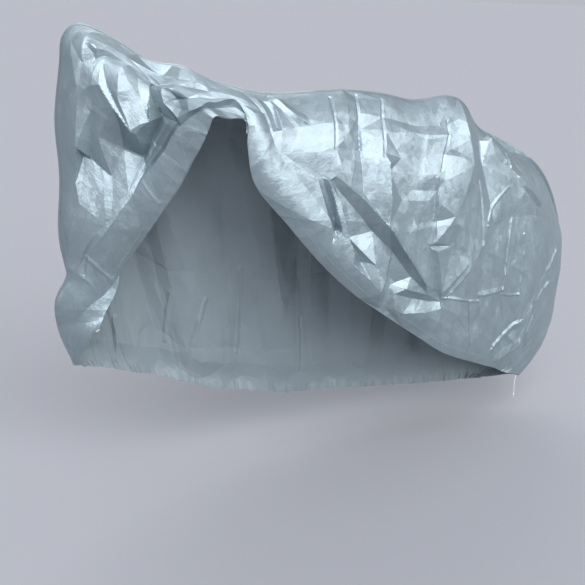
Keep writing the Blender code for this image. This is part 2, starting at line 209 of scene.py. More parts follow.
def braid_material(name, scale, dark, pale):
    """Braided or twisted yarn: a fine slanting weave in bump and a slight change of tone."""
    made, tree, shader = new_material(name)
    shader.inputs["Roughness"].default_value = 0.8
    place = tree.nodes.new("ShaderNodeTexCoord").outputs["Object"]
    weave = linked(tree, "ShaderNodeTexWave", Vector=place, Scale=scale)
    weave.bands_direction = "DIAGONAL"
    two_tones(tree, shader, weave.outputs["Fac"], dark, pale)
    bump = linked(tree, "ShaderNodeBump", Strength=0.5, Distance=BRAID_BUMP, Height=weave.outputs["Fac"])
    tree.links.new(bump.outputs["Normal"], shader.inputs["Normal"])
    return made


white_braid = braid_material("white_braid", 900, (0.62, 0.63, 0.62), (0.80, 0.80, 0.78))
print("cord material:", white_braid.name)

# %% Cord and knot
CORD_WIDTH = 0.002
CORD_POINTS = [
    (0.4210, 0.0205, -0.8335), (0.4203, 0.0208, -0.8351), (0.4192, 0.0211, -0.8371),
    (0.4174, 0.0205, -0.8384), (0.4156, 0.0198, -0.8403), (0.4142, 0.0192, -0.8437),
    (0.4131, 0.0188, -0.8483), (0.4121, 0.0182, -0.8543), (0.4116, 0.0178, -0.8613),
    (0.4118, 0.0176, -0.8692), (0.4126, 0.0178, -0.8773), (0.4141, 0.0182, -0.8849),
    (0.4156, 0.0188, -0.8913), (0.4163, 0.0191, -0.8952), (0.4166, 0.0193, -0.8973),
]
KNOT_CORD = CORD_WIDTH * 0.8  # the cord is pulled thinner in its knot
KNOT_SIZE = 0.0016            # radius of the trefoil's ring
KNOT_DEPTH = 1.2              # how deep it is, against its size
KNOT_STEPS = 60
KNOT_GAP = 0.15               # radians of the ring left open at each end, for the tails
TAILS = (                     # from the knot's ends: the far and near point of each loose tail
    ((-0.0012, 0.0006, -0.0085), (-0.0006, 0.0003, -0.0040)),
    ((0.0022, -0.0008, -0.0065), (0.0008, -0.0003, -0.0030)),
)


def tube_curve(name, points, width, material):
    """A round line through points."""
    data = bpy.data.curves.new(name, "CURVE")
    data.dimensions = "3D"
    data.bevel_depth = width / 2
    data.bevel_resolution = 3
    data.use_fill_caps = True
    spline = data.splines.new("POLY")
    spline.points.add(len(points) - 1)
    for place, point in zip(spline.points, points):
        place.co = (*point, 1)
    data.materials.append(material)
    return placed(name, data)


def as_mesh(made):
    """The object's evaluated shape as a plain mesh object of the same name."""
    graph = bpy.context.evaluated_depsgraph_get()
    mesh = bpy.data.meshes.new_from_object(made.evaluated_get(graph), depsgraph=graph)
    name = made.name
    bpy.data.objects.remove(made, do_unlink=True)
    return placed(name, mesh)


def tied_knot(centre, size, steps):
    """Points of an overhand knot, drawn tight round a centre, with two loose tails."""
    around = np.linspace(KNOT_GAP, 2 * math.pi - KNOT_GAP, steps)
    x = np.sin(around) + 2 * np.sin(2 * around)
    y = np.cos(around) - 2 * np.cos(2 * around)
    z = -np.sin(3 * around)
    knot = np.stack([x, z * KNOT_DEPTH, y], axis=1) * size / 2 + centre
    first, last = np.array(TAILS[0]) + knot[0], np.array(TAILS[1]) + knot[-1]
    return np.concatenate([first, knot, last[::-1]])


drawcord = tube_curve("drawcord_end", CORD_POINTS, CORD_WIDTH, white_braid)
knot_line = tied_knot(np.array(CORD_POINTS[-1]), KNOT_SIZE, KNOT_STEPS)
cord_knot = as_mesh(tube_curve("cord_knot", knot_line, KNOT_CORD, white_braid))
print("cord points:", len(CORD_POINTS), "knot faces:", len(cord_knot.data.polygons))

# %% [markdown]
# ## The shape of the drape
#
# The cover hangs in a shape that has no simple outline, but it follows one rule: from the seam on
# top, the film falls over a shoulder and comes in to a hem. A cloth simulation would find a drape
# of its own, and not this one, so a table holds it: for each station along the seam, the seam's
# own place, the hem's on both sides and how far the film stands out on its way down. A smooth curve
# through the rows gives every point in between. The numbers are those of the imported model.

# %% Stations along the seam
MILLI = 1000.0                # the tables are in millimetres, or in thousandths of the way down
ORIGIN = (0.330, -0.100, 0.955)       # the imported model's origin in these tables, in metres
# In millimetres, with x to the rear, y to the far side and z up from the ground: the seam, then for
# the near and the far side its hem, the way it faces in degrees from square, its shoulder and belly.
STATIONS = {
    #                seam x, y, z    near x, y, z, face, shoulder, belly    far x, y, z, and so on
    "front_hem":    (-545, 110, 375, -524, 34, 478, 37, 4, 4, -505, 160, 345, 30, 4, 4),
    "front_toe":    (-577, 105, 460, -512, 36, 494, 37, 10, 8, -497, 163, 341, 30, 15, 10),
    "front_bulge":  (-584, 100, 535, -488, 40, 524, 37, 15, 12, -487, 166, 337, 30, 30, 20),
    "front_notch":  (-556, 100, 590, -460, 45, 565, 37, 20, 15, -475, 168, 333, 30, 35, 25),
    "front_tuck":   (-552, 100, 640, -447, 45, 603, 37, 25, 15, -462, 170, 328, 30, 40, 30),
    "front_knee":   (-565, 100, 715, -412, 20, 668, 37, 30, 20, -443, 172, 321, 28, 45, 30),
    "front_middle": (-560, 100, 810, -380, -20, 742, 37, 35, 20, -415, 173, 310, 26, 50, 30),
    "front_chest":  (-564, 100, 920, -360, -45, 790, 37, 45, 20, -385, 174, 299, 24, 55, 30),
    "front_neck":   (-550, 98, 1030, -345, -70, 845, 37, 55, 20, -352, 174, 286, 20, 55, 30),
    "peak_front":   (-542, 95, 1080, -340, -85, 868, 37, 60, 20, -328, 174, 275, 16, 60, 30),
    "peak":         (-513, 88, 1105, -335, -95, 888, 37, 60, 20, -300, 173, 262, 12, 65, 30),
    "peak_rear":    (-462, 70, 1087, -330, -108, 915, 37, 50, 20, -265, 172, 247, 8, 70, 30),
    "pinch":        (-390, 30, 1039, -323, -120, 943, 34, 40, 20, -220, 171, 226, 4, 80, 30),
    "pass":         (-331, 0, 1029, -290, -120, 938, 25, 40, 20, -165, 170, 203, 0, 90, 30),
    "opening":      (-279, -20, 1004, -250, -120, 931, 15, 40, 20, -110, 168, 184, 0, 100, 30),
    "dip":          (-180, -50, 978, -252, -130, 880, 10, 45, 30, -45, 165, 165, 0, 100, 30),
    "ridge_1":      (-103, -60, 975, -235, -137, 800, 5, 60, 40, 20, 160, 150, 0, 100, 30),
    "ridge_2":      (-13, -70, 979, -160, -147, 712, 0, 80, 50, 85, 155, 138, 0, 100, 30),
    "ridge_3":      (60, -80, 976, -70, -155, 613, 0, 90, 60, 150, 148, 126, 0, 100, 35),
    "ridge_4":      (138, -90, 967, 20, -165, 530, 0, 90, 60, 215, 140, 116, 0, 100, 40),
    "hump_front":   (224, -95, 951, 112, -170, 464, 0, 90, 60, 280, 130, 108, 0, 100, 45),
    "hump":         (328, -100, 957, 240, -170, 376, 0, 100, 60, 350, 118, 101, 0, 110, 50),
    "hump_rear":    (389, -100, 936, 323, -165, 321, 0, 90, 60, 415, 105, 95, 0, 100, 55),
    "hump_drop":    (452, -95, 876, 410, -156, 278, 0, 80, 60, 475, 90, 90, 0, 90, 60),
    "shelf":        (553, -85, 836, 480, -144, 246, -5, 70, 60, 515, 78, 87, -5, 80, 60),
    "tail_1":       (640, -83, 800, 545, -130, 216, -10, 65, 60, 560, 64, 86, -10, 75, 60),
    "tail_2":       (735, -80, 742, 595, -116, 193, -15, 60, 60, 600, 52, 85, -15, 70, 60),
    "tail_3":       (825, -70, 644, 630, -106, 175, -20, 55, 58, 632, 42, 85, -20, 65, 58),
    "tail_4":       (893, -60, 507, 652, -100, 163, -28, 48, 55, 655, 32, 85, -28, 55, 52),
    "tail_5":       (912, -50, 350, 667, -97, 156, -36, 40, 45, 670, 24, 86, -36, 45, 45),
    "tail_6":       (895, -47, 200, 680, -94, 150, -44, 32, 28, 682, 18, 87, -44, 34, 28),
    "rear_hem":     (778, -60, 104, 690, -91, 146, -50, 22, 12, 692, 12, 88, -50, 22, 12),
}
SIDE_UNITS = (MILLI, MILLI, MILLI, 1, MILLI, MILLI)

rows = np.array(list(STATIONS.values())) / (MILLI, MILLI, MILLI, *SIDE_UNITS, *SIDE_UNITS)
SEAM, NEAR, FAR = rows[:, 0:3], rows[:, 3:9], rows[:, 9:15]
print("stations along the seam:", len(SEAM))

# %% Reading the table
SHOULDER_DROP = 0.12          # how far down a rib its shoulder lies, as a part of its length
BELLY_RISE = 0.35             # how far up a rib its belly lies
FINE_STEPS = 40               # steps from one station to the next, to measure lengths with


def smooth(table, where):
    """Read a table at row numbers that need not be whole, along one smooth curve."""
    before = np.clip(np.floor(where).astype(int), 0, len(table) - 2)
    part = (where - before)[..., None]
    row = [table[np.clip(before + step, 0, len(table) - 1)] for step in (-1, 0, 1, 2)]
    slope_in = (row[2] - row[0]) / 2
    slope_out = (row[3] - row[1]) / 2
    rise = row[2] - row[1]
    curve = slope_in * part + (3 * rise - 2 * slope_in - slope_out) * part**2
    return row[1] + curve + (slope_in + slope_out - 2 * rise) * part**3


def draped(side, table, station, drop):
    """Points of one side without folds: side is -1 for near and +1 for far, drop runs 0 to 1."""
    seam = smooth(SEAM, station)
    row = smooth(table, station)
    hem = row[..., 0:3]
    face = np.radians(row[..., 3])
    out = np.stack([-np.sin(face), side * np.cos(face), np.zeros_like(face)], axis=-1)
    shoulder = seam + out * row[..., 4:5] + (hem - seam) * SHOULDER_DROP
    belly = hem + out * row[..., 5:6] + (seam - hem) * BELLY_RISE
    t = drop[..., None]
    ends = seam * (1 - t)**3 + hem * t**3
    return ends + 3 * shoulder * t * (1 - t)**2 + 3 * belly * t**2 * (1 - t)


def even_stations(columns):
    """Station numbers spaced evenly along the seam and the two hems together."""
    fine = np.linspace(0, len(SEAM) - 1, FINE_STEPS * (len(SEAM) - 1) + 1)
    run = np.zeros(len(fine))
    for line in (smooth(SEAM, fine), smooth(NEAR, fine)[:, 0:3], smooth(FAR, fine)[:, 0:3]):
        run[1:] += np.cumsum(np.linalg.norm(np.diff(line, axis=0), axis=1))
    return np.interp(np.linspace(0, run[-1], columns + 1), run, fine)


peak = list(STATIONS).index("peak")
print("peak of the seam, m:", smooth(SEAM, np.array([float(peak)])).round(3))

# %% [markdown]
# ## Soft folds of the far side
#
# Where the film is held up by its high points, it hangs down from them in long soft ridges and
# valleys. Each is a row: three places that its line runs through, its width to the right and to
# the left, and its height at both ends. A place is a station along the seam and a share of the
# way down. The film falls off smoothly to both sides of the line, as a soft fold does.

# %% Folds of the far side
# Stations, thousandths of the way down, and millimetres.
FAR_FOLDS = {
    # fold          from       via        to         right, left, from height, to height
    "peak_fold_1": (8.4, 140, 6.4, 400, 5, 750, 30, 30, -6, -10),
    "peak_fold_2": (9.2, 160, 8.6, 500, 8, 950, 34, 34, -14, -12),
    "peak_fold_3": (10.2, 160, 10.6, 500, 10.6, 970, 34, 34, 12, 14),
    "peak_fold_4": (11, 180, 12.4, 550, 13, 900, 34, 34, -14, -12),
    "hang_fold_1": (14, 300, 14.8, 650, 14.7, 960, 34, 34, 10, 14),
    "hang_fold_2": (15.8, 350, 16.4, 700, 17, 970, 36, 36, -14, -14),
    "hang_fold_3": (18.2, 250, 18.6, 600, 19, 960, 34, 34, 10, 12),
    "hump_fold_1": (20.6, 160, 20.4, 500, 20.6, 880, 30, 30, -12, -10),
    "hump_fold_2": (22.2, 140, 22.4, 500, 22.2, 850, 32, 32, -16, -10),
    "tail_fold_1": (24.2, 200, 23.8, 500, 23.4, 850, 26, 26, 10, 10),
    "tail_fold_2": (25.8, 250, 25.4, 500, 25, 800, 24, 24, -10, -8),
    "tail_fold_3": (27.4, 300, 27, 500, 26.6, 750, 22, 22, 8, 6),
}
print("folds:", len(FAR_FOLDS))

# %% [markdown]
# ## Panes of the flap
#
# The pulled-up film is stretched between its high peak, the pinch over the opening and the hem.
# Stretched film doesn't hang in soft folds: it breaks into flat panes that meet in straight
# creases. So each crease is a row of corners, a corner being a station, a share of the way down
# and a height over the drape, and flat triangles are spanned between all the corners. The free
# corners lie inside a pane, or out where the panes end, mostly at no height.

# %% Creases of the flap
# Stations, thousandths of the way down, and millimetres.
FLAP_CREASES = {
    "peak_rim": ((9.2, 130, 0), (9.7, 210, 6), (9.9, 300, 8), (11.3, 260, -6)),
    "peak_shade": ((8.8, 280, 2), (9.5, 340, -2), (10.9, 370, -10)),
    "peak_side": ((9.9, 300, 8), (9.5, 340, -2)),
    "strip_to_valley": ((8.5, 200, 4), (7.7, 290, 14), (6.8, 310, 16), (6.6, 330, -14), (6.6, 400, -14),
        (6.4, 560, -8)),
    "left_edge": ((6.5, 180, 4), (6, 280, 10), (5.6, 340, 14), (4.6, 450, 24)),
    "second_strip": ((8.8, 300, 4), (8.6, 420, 16), (8.1, 520, 24), (7.8, 630, 30)),
    "tip_line": ((9.6, 370, 0), (8.8, 460, 10), (8.2, 540, 18), (7.8, 630, 30)),
    "pouch_left": ((10.1, 460, 12), (8.6, 540, 20), (7.8, 630, 30)),
    "pinch_to_tip": ((11.9, 380, -22), (9.3, 640, 0), (7.8, 630, 30), (7.8, 660, 22)),
    "tube": ((11.5, 500, -24), (10.1, 640, -8), (8.6, 710, 8), (7.8, 660, 22)),
    "gully": ((11.5, 500, -24), (9.2, 760, -28), (7.6, 750, -30), (7.2, 730, -32)),
    "drop": ((12, 500, -10), (10.2, 720, -14), (9.2, 760, -28)),
    "drop_right": ((12, 500, -10), (11.2, 700, -22)),
    "hollow": ((6.6, 400, -14), (7.2, 450, 1), (7.2, 610, -18), (7.2, 730, -32)),
    "under_band": ((9.8, 830, -14), (7.8, 810, -16), (7, 760, -14), (6.2, 690, 6), (5.5, 620, 20),
        (5.1, 540, 27), (4.4, 450, 20)),
    "band": ((9.9, 850, -2), (7.8, 830, 0), (7, 780, 2), (6.1, 720, 10), (5.5, 650, 24), (5, 580, 29),
        (4.4, 500, 24)),
    "roof_edge": ((12.26, 177, -18), (12.51, 342, -4), (12.88, 438, 6), (13.07, 508, 7), (13.14, 585, 4)),
    "roof": ((12.26, 177, -18), (12.82, 162, 4)),
    "under_roof": ((13.01, 392, -4), (13.2, 488, -5), (13.14, 585, 4)),
    "cheek": ((12.26, 427, -10), (11.77, 719, -2), (10.83, 792, -4)),
    "lid": ((10.15, 815, 4), (11.28, 827, 9), (11.94, 850, 11), (12.64, 812, 10), (14.01, 635, 6)),
    "lash": ((9.9, 850, -2), (11.6, 869, -5), (12.82, 815, -6), (13.71, 708, -8)),
    "apex": ((14.56, 404, 2), (14.86, 292, 8), (15.21, 431, 6), (15.62, 558, 4)),
    "corner": ((14.01, 635, 6), (14.31, 512, -6), (14.56, 404, 2)),
    "corner_line": ((14.31, 512, -6), (14.77, 569, 4)),
    "fan_gap": ((15.08, 204, -2), (15.75, 488, -4)),
    "fan": ((15.26, 219, 4), (15.88, 496, 6)),
}
FLAP_FREE = (
    (7.6, 380, 6), (5.9, 530, 10), (5.4, 530, 24), (9.3, 680, 6), (11.2, 720, -12), (10.3, 950, 0),
    (7.3, 970, 0), (5.9, 960, 0), (4.9, 980, 0), (3.6, 950, 0), (3.6, 120, 14), (3.2, 460, 18),
    (2.5, 830, -8), (5.4, 80, 0), (6.3, 70, 0), (7.3, 130, 0), (8.2, 90, 0), (3, 0, 0), (6, 0, 0),
    (9, 0, 0), (11, 60, 0), (2.4, 1000, -6), (3.4, 300, 20), (3.1, 650, 10), (13.01, 685, 0),
    (11.94, 981, 0), (14.44, 765, 0), (11.7, 40, 0), (12.7, 40, 0), (14, 40, 0), (16.3, 40, 0),
    (16.3, 450, 0), (16.3, 800, 0), (11, 1000, 0), (12.6, 1000, 0), (14.2, 1000, 0), (16.3, 1000, 0),
    (1.2, 0, 0), (1.2, 500, -12), (0, 0, 0), (0, 1000, 0), (1.2, 1000, -12),
)
print("panes of the flap:", len(FLAP_CREASES), "creases,", len(FLAP_FREE), "free corners")

# %% [markdown]
# ## Panes of the rear
#
# Behind the opening the film hangs from the seam, and the pulled-up hem draws it into one point low
# down, under a long ridge. The folds of the pack cross it from the seam to the hem. It is built of
# panes as well, since film keeps the flat folds of its pack for years.

# %% Creases of the rear
# Stations, thousandths of the way down, and millimetres.
REAR_CREASES = {
    "pack_a": ((16.97, 108, 0), (17.04, 254, 4), (17.12, 365, 7), (17.26, 469, 6)),
    "pack_ab": ((17.45, 135, 3), (17.56, 354, 1)),
    "pack_b": ((17.93, 69, -4), (17.89, 196, -6), (17.96, 300, -14), (18.08, 412, -14), (18.41, 592, -6)),
    "pack_c": ((18.79, 69, 0), (18.72, 192, -4), (18.68, 331, 8), (18.68, 388, 8), (18.87, 423, 16),
        (19.06, 565, 22), (19.17, 665, 21)),
    "b_to_c": ((17.96, 300, -14), (18.72, 192, -4)),
    "band_1_valley": ((18.83, 238, 1), (19.83, 192, -1), (20.69, 185, -1)),
    "band_1_ridge": ((18.75, 285, 4), (19.71, 238, 5), (20.66, 238, 5)),
    "band_2_valley": ((19.33, 377, 0), (20.63, 323, -4)),
    "band_2_ridge": ((18.94, 458, 8), (19.75, 427, 4), (20.4, 408, 3)),
    "band_3_valley": ((19.83, 488, 1), (20.48, 469, -4)),
    "band_3_ridge": ((19.52, 546, 5), (20.34, 508, 1)),
    "pack_d": ((20.69, 185, -1), (20.66, 238, 5), (20.63, 323, -4), (20.4, 408, 3), (20.48, 469, -4),
        (20.6, 581, -6), (20.57, 669, -4)),
    "spot": ((20.87, 146, -2), (21.08, 158, 8), (20.78, 238, 4)),
    "hump_side": ((21.25, 173, 16), (21.42, 246, 15), (21.75, 331, 12), (22.22, 381, 4)),
    "hump_valley": ((22.91, 108, -12), (22.87, 242, -10)),
    "pocket_top": ((20.66, 650, 4), (21.12, 538, 5)),
    "pocket": ((20.57, 669, -4), (21.29, 635, -4)),
    "strip_a": ((20.58, 675, -4), (21.12, 800, -4)),
    "strip_b": ((20.78, 675, 5), (21.28, 800, 3)),
    "long_ridge": ((17.52, 600, 3), (17.78, 604, 7), (18.34, 619, 10), (19.17, 665, 21), (20.1, 750, 21),
        (20.6, 800, 17)),
    "long_valley": ((17.67, 646, -4), (18.55, 690, -7), (18.95, 715, -8), (19.7, 745, -6), (20.3, 800, 6),
        (20.81, 831, 4)),
    "groove": ((19.7, 745, -6), (19.88, 980, -2)),
    "left_ridge": ((19.58, 880, 18), (19.76, 980, 4)),
    "right_ridge": ((19.93, 870, -6), (20.02, 970, -2)),
    "low_ridge": ((19.93, 870, -6), (20.22, 854, 16), (20.81, 831, 4)),
    "low_valley": ((20.03, 896, 4), (20.54, 873, -6), (21.38, 831, -5)),
    "lower_ridge": ((20.14, 950, 7), (20.34, 946, 8), (20.75, 904, 7), (21.42, 850, 3)),
    "streak_1": ((17.15, 681, 3), (17.82, 827, 10)),
    "gap_1": ((17.23, 650, -2), (18.04, 808, -8)),
    "streak_2": ((17.34, 642, 7), (18.11, 804, 10)),
    "gap_2": ((17.52, 627, -3), (18.38, 800, -8)),
    "streak_3": ((17.82, 696, 6), (18.56, 850, 10)),
    "left_pane": ((19.17, 831, 15), (19.56, 919, 18)),
    "roll": ((17.96, 881, 5), (18.6, 888, 9), (19.17, 900, 12)),
    "shelf_ridge": ((23.08, 108, 6), (23.65, 185, 7)),
    "shelf_valley": ((23.65, 15, -3), (24.19, 108, -6), (23.92, 200, 12)),
    "shelf_low": ((24.48, 50, -10), (25.24, 42, -12), (25.86, 19, -10)),
    "shelf_high": ((23.92, 200, 12), (24.33, 227, 16), (24.86, 258, 16), (25.48, 277, 12), (25.77, 331, 6)),
    "tail_patch": ((25.57, 842, -3), (26.64, 858, 5)),
    "tail_streak_1": ((26.83, 681, 2), (27.13, 831, 4)),
    "tail_streak_2": ((26.49, 692, -3), (26.3, 808, -4)),
    "tail_streak_3": ((27.57, 677, -3), (28.38, 788, -2)),
}
REAR_FREE = (
    (18.49, 465, 2), (20.75, 300, 2), (20.63, 423, 3), (20.63, 515, 4), (18.9, 854, -8), (26.35, 319, 0),
    (27.18, 419, 0), (26.45, 896, 2), (22.14, 900, 0), (24.06, 938, 0), (24.29, 723, 0), (22.3, 646, 2),
    (23.39, 462, 0), (15.5, 0, 0), (17.5, 0, 0), (19.5, 0, 0), (21.5, 0, 0), (23.5, 0, 0), (25.5, 0, 0),
    (29.5, 0, 0), (15.6, 300, 0), (16.2, 650, 0), (16, 1000, 0), (18, 1000, 0), (19.2, 1000, 0),
    (20.5, 1000, 0), (22.5, 1000, 0), (25.5, 1000, 0), (29.5, 1000, 0),
)
print("panes of the rear:", len(REAR_CREASES), "creases,", len(REAR_FREE), "free corners")

# %% [markdown]
# ## Fine creases
#
# Between the panes, single creases stand out as thin lines: those of the pack, some at the hem and
# a fan from the opening. Film creases much more sharply than cloth, so a fine crease has a sharp
# crest with a flat slope on either side. Where one slope is short and the other long, the long one
# catches the light and the short one is a thin dark line. The rows are like those of the folds.

# %% Fine creases of both sides
# Stations, thousandths of the way down, and millimetres.
NEAR_CREASES = {
    # crease          from       via        to         right, left, from height, to height
    "band_cross_1":    (6.7, 750, 6.4, 830, 6.1, 930, 6, 6, 1, 1),
    "band_cross_2":    (4.3, 460, 3.9, 640, 3.3, 840, 6, 6, 2, 2),
    "band_cross_3":    (3.3, 420, 3, 550, 2.6, 680, 6, 6, 1, 1),
    "fan_2":           (15.4, 160, 15.8, 270, 16.3, 360, 18, 10, 6, 6),
    "pack_a":          (17, 100, 17.04, 250, 17.26, 470, 5, 5, -3, -3),
    "pack_b":          (17.95, 50, 17.9, 210, 18.1, 410, 5, 5, -3, -3),
    "pack_c":          (18.8, 60, 18.68, 260, 18.72, 400, 5, 5, -3, -3),
    "pack_d":          (20.75, 160, 20.66, 280, 20.54, 390, 5, 5, -3, -3),
    "pack_d_low":      (20.45, 420, 20.6, 550, 20.63, 660, 5, 8, 3, 4),
    "long_rim":        (19.33, 670, 20.1, 745, 20.6, 800, 6, 6, 4, 4),
    "tail_line_f":     (22.4, 350, 22.7, 440, 22.87, 565, 5, 5, 3, 3),
    "tail_curve_top":  (23.9, 290, 23.35, 380, 23.04, 480, 6, 6, 2, 4),
    "tail_curve":      (23.04, 480, 22.79, 573, 21.75, 780, 8, 45, 4, 6),
    "tail_line_g":     (24.24, 415, 24.29, 565, 24.43, 690, 6, 6, 3, 3),
    "tail_line_g_low": (24.43, 700, 24.67, 740, 25.1, 796, 5, 5, 3, 2),
    "tail_line_h":     (25.05, 450, 25.33, 550, 25.57, 680, 6, 6, 3, 3),
    "low_line_v":      (22.74, 770, 23, 846, 23.3, 927, 5, 5, 3, 3),
    "low_line_1":      (21.42, 815, 22.2, 785, 23.2, 754, 5, 5, 2, 2),
    "low_line_2":      (23.2, 731, 23.7, 712, 24.4, 685, 12, 8, 3, 3),
    "low_line_3":      (24.5, 700, 25.1, 692, 25.6, 673, 5, 5, 2, 2),
    "tail_patch_1":    (24.95, 905, 25.48, 842, 26.3, 770, 8, 22, 4, 5),
    "tail_patch_2":    (25.86, 955, 26.6, 900, 27.23, 854, 26, 10, 5, 5),
    "tail_streak_1":   (27.37, 830, 27, 754, 26.88, 680, 14, 8, 5, 4),
    "tail_streak_2":   (28.4, 785, 27.7, 750, 27.47, 685, 8, 6, 5, 4),
    "tail_streak_3":   (27.13, 620, 27.28, 560, 27.52, 485, 10, 10, 4, 3),
    "tail_streak_4":   (27.08, 470, 27.18, 420, 27.28, 340, 10, 8, 3, 3),
    "shelf_line_1":    (23.17, 85, 23.47, 127, 23.78, 170, 6, 12, 6, 8),
    "shelf_line_2":    (24.19, 77, 24.06, 138, 23.96, 190, 10, 5, 3, 5),
    "shelf_line_3":    (24.38, 227, 24.9, 262, 25.5, 288, 5, 12, 5, 6),
}
FAR_CREASES = {
    "inner_line_1": (13.4, 720, 12.8, 800, 12.3, 880, 10, 6, -4, -3),
    "inner_line_2": (11.9, 720, 11.5, 800, 11.1, 880, 10, 6, -3, -3),
    "inner_line_3": (14.9, 620, 14.8, 740, 14.6, 870, 12, 6, -4, -3),
    "inner_line_4": (17.3, 760, 17.4, 840, 17.4, 930, 8, 8, 3, 3),
    "inner_line_5": (7.4, 800, 6.8, 880, 6.1, 950, 8, 8, -3, -3),
}
print("creases:", len(NEAR_CREASES), "near,", len(FAR_CREASES), "far")

# %% Height of folds and creases
LINE_STEPS = 12               # straight steps that follow a fold's line
REACH = 2.0                   # half widths past which a fold adds nothing
TENT_SPREAD = 1.8             # how much wider a soft fold is than its half width
TENT_CREST = 0.004            # how round its crest is
ROW_UNITS = (1, MILLI) * 3 + (MILLI,) * 4


def surface_normals(grid):
    """Outward directions of a grid of points, from its neighbours along and across."""
    along = np.gradient(grid, axis=1)
    across = np.gradient(grid, axis=0)
    normal = np.cross(across, along)
    return normal / np.linalg.norm(normal, axis=-1, keepdims=True)


def fold_line(side, table, ends):
    """The places that a fold's line runs through: a smooth bend on the surface."""
    share = np.linspace(0, 1, LINE_STEPS + 1)[:, None]
    via = 2 * ends[1] - (ends[0] + ends[2]) / 2
    places = ends[0] * (1 - share)**2 + 2 * via * share * (1 - share) + ends[2] * share**2
    return draped(side, table, places[:, 0], places[:, 1])


def relief(side, table, folds, points, profile):
    """Height of the folds at each point of a side; the profile gives the shape across a fold."""
    height = np.zeros(points.shape[:-1])
    outward = surface_normals(points)
    outward = outward * side * np.sign(outward[..., 1:2].mean() * side)
    for fold in folds.values():
        row = np.array(fold) / ROW_UNITS
        right, left, from_height, to_height = row[6:]
        line = fold_line(side, table, row[:6].reshape(3, 2))
        reach = REACH * max(right, left)
        low, high = line.min(axis=0) - reach, line.max(axis=0) + reach
        close = ((points > low) & (points < high)).all(axis=-1)
        step = np.diff(line, axis=0)
        offset = points[close][:, None, :] - line[:-1]
        along = np.clip((offset * step).sum(-1) / (step * step).sum(-1), 0, 1)
        aside = offset - along[..., None] * step
        away = np.linalg.norm(aside, axis=-1)
        nearest = away.argmin(axis=-1)
        pick = np.arange(len(nearest)), nearest
        share = (nearest + along[pick]) / LINE_STEPS
        to_right = (np.cross(step[nearest], outward[close]) * aside[pick]).sum(-1) > 0
        width = np.where(to_right, right, left)
        height[close] += (from_height + (to_height - from_height) * share) * profile(away[pick] / width)
    return height


def tent(spread):
    """A fold of film: flat slopes up to a crest that is only a little rounded."""
    return np.clip(1 - np.sqrt((spread / TENT_SPREAD)**2 + TENT_CREST), 0, 1)


def crease(spread):
    """A crease: flat slopes up to a sharp crest."""
    return np.clip(1 - spread, 0, 1)


print("height half a width off the line: fold", tent(0.5).round(2), "crease", crease(0.5))

# %% Height of panes
STATION_STEP = 0.09           # usual way from one station to the next
DROP_LENGTH = 0.6             # usual way from the seam to a hem
SAME_CORNER = 1e-6            # metres within which two corners are one


def pane_height(creases, free, station, drop):
    """Height of flat panes that span the corners, and that meet along the creases."""
    lines = list(creases.values())
    corners = list(dict.fromkeys(corner for line in (*lines, free) for corner in line))
    edges = [(corners.index(a), corners.index(b)) for line in lines for a, b in zip(line, line[1:])]
    table = np.array(corners) / (1, MILLI, MILLI) * (STATION_STEP, DROP_LENGTH, 1.0)
    spread = delaunay_2d_cdt([Vector(row[:2]) for row in table.tolist()], edges, [], 0, SAME_CORNER)
    at = np.array([tuple(corner) for corner in spread[0]])
    rise = np.array([table[source[0], 2] for source in spread[3]])
    height = np.zeros(station.shape)
    x, y = station * STATION_STEP, drop * DROP_LENGTH
    for a, b, c in spread[2]:
        whole = np.cross(at[b] - at[a], at[c] - at[a])
        to_b = ((x - at[a, 0]) * (at[c, 1] - at[a, 1]) - (y - at[a, 1]) * (at[c, 0] - at[a, 0])) / whole
        to_c = ((at[b, 0] - at[a, 0]) * (y - at[a, 1]) - (at[b, 1] - at[a, 1]) * (x - at[a, 0])) / whole
        within = (to_b >= 0) & (to_c >= 0) & (to_b + to_c <= 1)
        value = rise[a] + to_b * (rise[b] - rise[a]) + to_c * (rise[c] - rise[a])
        height[within] = value[within]
    return height


flap_tip = pane_height(FLAP_CREASES, FLAP_FREE, np.array([7.8]), np.array([0.63]))
print("height of the flap's tip, m:", flap_tip.round(4))

# %% [markdown]
# ## Crumpling
#
# Between its folds the film is never smooth. It breaks into small flat facets with sharp edges,
# like foil that was opened out. Smooth noise would look like cloth, so two sets of parabolic bowls
# are taken from each other, which leaves flat facets. Three such patterns, from a hand's width down
# to a finger's, are turned against each other, so that their rows don't show. Each has its seed.

# %% Facets
LATTICE = 64                  # random values each way, after which a pattern repeats
NEARBY = range(-2, 3)         # squares each way whose bowls can be the lowest
BOWL_RISE = 0.6               # how high a bowl's foot can stand, in squares


def soft_noise(u, v, size, seed):
    """Smooth random hills between -1 and 1."""
    heights = np.random.default_rng(seed).uniform(-1, 1, (LATTICE, LATTICE))
    column, row = np.floor(u / size), np.floor(v / size)
    s, t = u / size - column, v / size - row
    s, t = s * s * (3 - 2 * s), t * t * (3 - 2 * t)
    column, row = column.astype(int) % LATTICE, row.astype(int) % LATTICE
    right, up = (column + 1) % LATTICE, (row + 1) % LATTICE
    lower = heights[column, row] * (1 - s) + heights[right, row] * s
    upper = heights[column, up] * (1 - s) + heights[right, up] * s
    return lower * (1 - t) + upper * t


